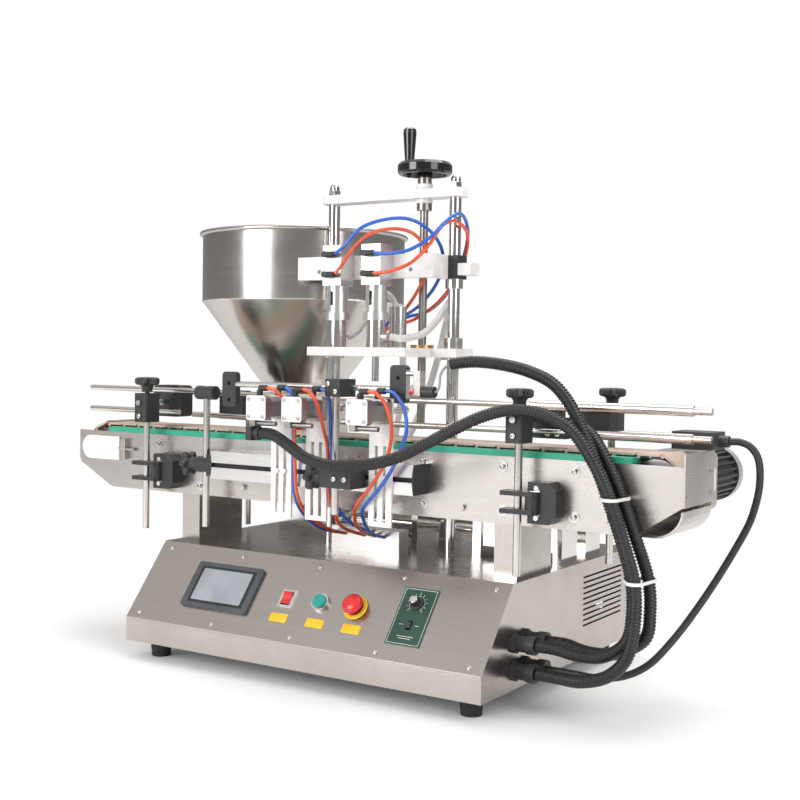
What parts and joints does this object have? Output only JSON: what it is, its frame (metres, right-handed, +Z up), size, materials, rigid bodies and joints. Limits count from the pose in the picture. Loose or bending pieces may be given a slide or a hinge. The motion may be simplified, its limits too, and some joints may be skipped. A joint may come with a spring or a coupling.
{
  "type": "piston liquid filler",
  "caption": "Bench-top piston filler: a slat conveyor with stop gates, a screw-lifted nozzle head, a cone hopper, twin dosing cylinders and a control cabinet.",
  "frame": {"origin": "on the floor, under the middle of the whole footprint", "axes": "+X along the conveyor towards its drive end, +Y from the control panel to the back, +Z up"},
  "size_m": [1.2623, 0.6363, 0.9264],
  "materials": {
    "cabinet_steel": "brushed, satin",
    "panel_steel": "brushed along the width",
    "plate_steel": "dull rolled stainless",
    "hidden_steel": "zinc plated",
    "black_rubber": "matt",
    "screw_steel": "bright",
    "electronics": "matt",
    "screen_bezel": "matt bezel with a grey screen",
    "switch_metal": "satin chrome collars",
    "red_plastic": "glossy",
    "green_plastic": "glossy",
    "dial_plate": "satin",
    "black_plastic": "fine moulded grain",
    "strip_plastic": "slippery polyethylene",
    "chain_plastic": "acetal",
    "shaft_steel": "turned",
    "motor_grey": "satin paint",
    "rod_steel": "polished",
    "nylon_black": "glass-filled nylon",
    "column_chrome": "hard chrome",
    "white_plastic": "acetal, machined",
    "wheel_black": "polished phenolic",
    "head_metal": "machined",
    "cylinder_metal": "anodised",
    "product_steel": "polished",
    "beam_metal": "anodised, fine extrusion lines",
    "bracket_white": "powder coat",
    "gate_white": "powder coat",
    "hopper_steel": "spun and brushed",
    "lever_red": "dipped vinyl grip",
    "conduit_black": "corrugated",
    "air_tube": "polyurethane, blue and orange",
    "hose_clear": "translucent silicone"
  },
  "bodies": {
    "frame": {"cabinet_shell": "cabinet_steel", "control_panel": "panel_steel", "base_plate": "hidden_steel", "rubber_feet": "black_rubber", "panel_screws": "screw_steel", "inner_electronics": "electronics", "touch_screen": "screen_bezel", "switch_bases": "switch_metal", "speed_plate": "dial_plate", "side_connectors": "black_plastic", "conveyor_legs": "plate_steel", "front_side_plate": "plate_steel", "rear_side_plate": "plate_steel", "conveyor_ends": "plate_steel", "wear_strips": "strip_plastic", "slat_chain": "chain_plastic", "gearmotor": "motor_grey", "bracket_rods": "rod_steel", "bracket_clamps": "nylon_black", "photo_sensor": "nylon_black", "columns": "column_chrome", "top_bar": "white_plastic", "gate_beam": "beam_metal", "gate_brackets": "bracket_white", "gate_cylinders": "gate_white", "hopper": "hopper_steel", "hopper_stand": "product_steel", "dosing_cylinders": "product_steel", "conduits": "conduit_black", "gate_tubes": "air_tube", "product_hoses": "hose_clear"},
    "rocker": {"rocker": "red_plastic"},
    "start_cap": {"start_cap": "green_plastic"},
    "estop_head": {"estop_head": "red_plastic"},
    "speed_knob": {"speed_knob": "black_plastic"},
    "direction_toggle": {"direction_toggle": "black_plastic"},
    "drive_shaft": {"drive_shaft": "shaft_steel"},
    "idler_shaft": {"idler_shaft": "shaft_steel"},
    "knob_front_left": {"knob_front_left": "nylon_black"},
    "knob_front_right": {"knob_front_right": "nylon_black"},
    "knob_rear_right": {"knob_rear_right": "nylon_black"},
    "knob_sensor_left": {"knob_sensor_left": "nylon_black"},
    "knob_sensor_mid": {"knob_sensor_mid": "nylon_black"},
    "rear_rail": {"rear_rail": "rod_steel"},
    "infeed_rail": {"infeed_rail": "rod_steel"},
    "handwheel": {"lead_screw": "shaft_steel", "handwheel": "wheel_black"},
    "crank": {"crank_handle": "wheel_black"},
    "head": {"head_plate": "white_plastic", "head_fittings": "head_metal", "nozzle_cylinders": "cylinder_metal", "product_bodies": "product_steel", "head_tubes": "air_tube"},
    "nozzle_rod_left": {"nozzle_rod_left": "product_steel"},
    "nozzle_rod_right": {"nozzle_rod_right": "product_steel"},
    "stopper_left": {"stopper_left": "rod_steel"},
    "stopper_mid": {"stopper_mid": "rod_steel"},
    "stopper_right": {"stopper_right": "rod_steel"},
    "valve_lever": {"valve_lever": "lever_red"},
    "dosing_pistons": {"dosing_pistons": "product_steel"}
  },
  "joints": [
    {"name": "rocker_tilt", "type": "hinge", "parent": "frame", "child": "rocker", "pos_m": [-0.03375, -0.26464, 0.13136], "axis": [1, 0, 0], "range_deg": [-16, 0]},
    {"name": "start_press", "type": "slide", "parent": "frame", "child": "start_cap", "axis": [0, 0.7809, -0.6247], "range_m": [0, 0.003], "stiffness_N_per_m": 400},
    {"name": "estop_press", "type": "slide", "parent": "frame", "child": "estop_head", "axis": [0, 0.7809, -0.6247], "range_m": [0, 0.005]},
    {"name": "speed_knob_turn", "type": "hinge", "parent": "frame", "child": "speed_knob", "pos_m": [0.20625, -0.2498, 0.14831], "axis": [0, -0.7809, 0.6247], "range_deg": [-150, 150]},
    {"name": "toggle_tilt", "type": "hinge", "parent": "frame", "child": "direction_toggle", "pos_m": [0.20625, -0.27292, 0.11941], "axis": [1, 0, 0], "range_deg": [-20, 0]},
    {"name": "drive_turn", "type": "hinge", "parent": "frame", "child": "drive_shaft", "pos_m": [0.54625, -0.11915, 0.347], "axis": [0, 1, 0], "continuous": true},
    {"name": "idler_turn", "type": "hinge", "parent": "frame", "child": "idler_shaft", "pos_m": [-0.55175, -0.11915, 0.347], "axis": [0, 1, 0], "continuous": true},
    {"name": "front_left_knob_turn", "type": "hinge", "parent": "frame", "child": "knob_front_left", "pos_m": [-0.39825, -0.21365, 0.456], "axis": [0, 0, 1], "range_deg": [0, 360]},
    {"name": "front_right_knob_turn", "type": "hinge", "parent": "frame", "child": "knob_front_right", "pos_m": [0.35575, -0.21365, 0.456], "axis": [0, 0, 1], "range_deg": [0, 360]},
    {"name": "rear_right_knob_turn", "type": "hinge", "parent": "frame", "child": "knob_rear_right", "pos_m": [0.41775, -0.01165, 0.456], "axis": [0, 0, 1], "range_deg": [0, 360]},
    {"name": "sensor_left_knob_turn", "type": "hinge", "parent": "frame", "child": "knob_sensor_left", "pos_m": [-0.27525, -0.21365, 0.333], "axis": [-1, 0, 0], "range_deg": [0, 360]},
    {"name": "sensor_mid_knob_turn", "type": "hinge", "parent": "frame", "child": "knob_sensor_mid", "pos_m": [0.03175, -0.26165, 0.333], "axis": [-1, 0, 0], "range_deg": [0, 360]},
    {"name": "rear_rail_slide", "type": "slide", "parent": "frame", "child": "rear_rail", "axis": [0, 1, 0], "range_m": [-0.03, 0.012]},
    {"name": "infeed_rail_slide", "type": "slide", "parent": "frame", "child": "infeed_rail", "axis": [0, 1, 0], "range_m": [-0.02, 0.02]},
    {"name": "screw_turn", "type": "hinge", "parent": "frame", "child": "handwheel", "pos_m": [0.07175, -0.03065, 0.88], "axis": [0, 0, 1], "range_deg": [-3600, 2160]},
    {"name": "head_lift", "type": "slide", "parent": "frame", "child": "head", "axis": [0, 0, 1], "range_m": [-0.05, 0.03], "deforming": ["product_hoses"]},
    {"name": "crank_spin", "type": "hinge", "parent": "handwheel", "child": "crank", "pos_m": [0.03507, -0.02285, 0.88], "axis": [0, 0, 1], "continuous": true},
    {"name": "nozzle_left_lift", "type": "slide", "parent": "head", "child": "nozzle_rod_left", "axis": [0, 0, 1], "range_m": [0, 0.012]},
    {"name": "nozzle_right_lift", "type": "slide", "parent": "head", "child": "nozzle_rod_right", "axis": [0, 0, 1], "range_m": [0, 0.012]},
    {"name": "gate_left_push", "type": "slide", "parent": "frame", "child": "stopper_left", "axis": [0, 1, 0], "range_m": [0, 0.038]},
    {"name": "gate_mid_push", "type": "slide", "parent": "frame", "child": "stopper_mid", "axis": [0, 1, 0], "range_m": [0, 0.038]},
    {"name": "gate_right_push", "type": "slide", "parent": "frame", "child": "stopper_right", "axis": [0, 1, 0], "range_m": [0, 0.038]},
    {"name": "valve_turn", "type": "hinge", "parent": "frame", "child": "valve_lever", "pos_m": [-0.28925, 0.05335, 0.355], "axis": [0, 1, 0], "range_deg": [0, 90]},
    {"name": "dosing_stroke", "type": "slide", "parent": "frame", "child": "dosing_pistons", "axis": [1, 0, 0], "range_m": [0, 0.055]}
  ],
  "couplings": [
    {"joint": "idler_turn", "follows": "drive_turn", "ratio": 1},
    {"joint": "head_lift", "follows": "screw_turn", "m_per_rad": 0.00079577}
  ]
}
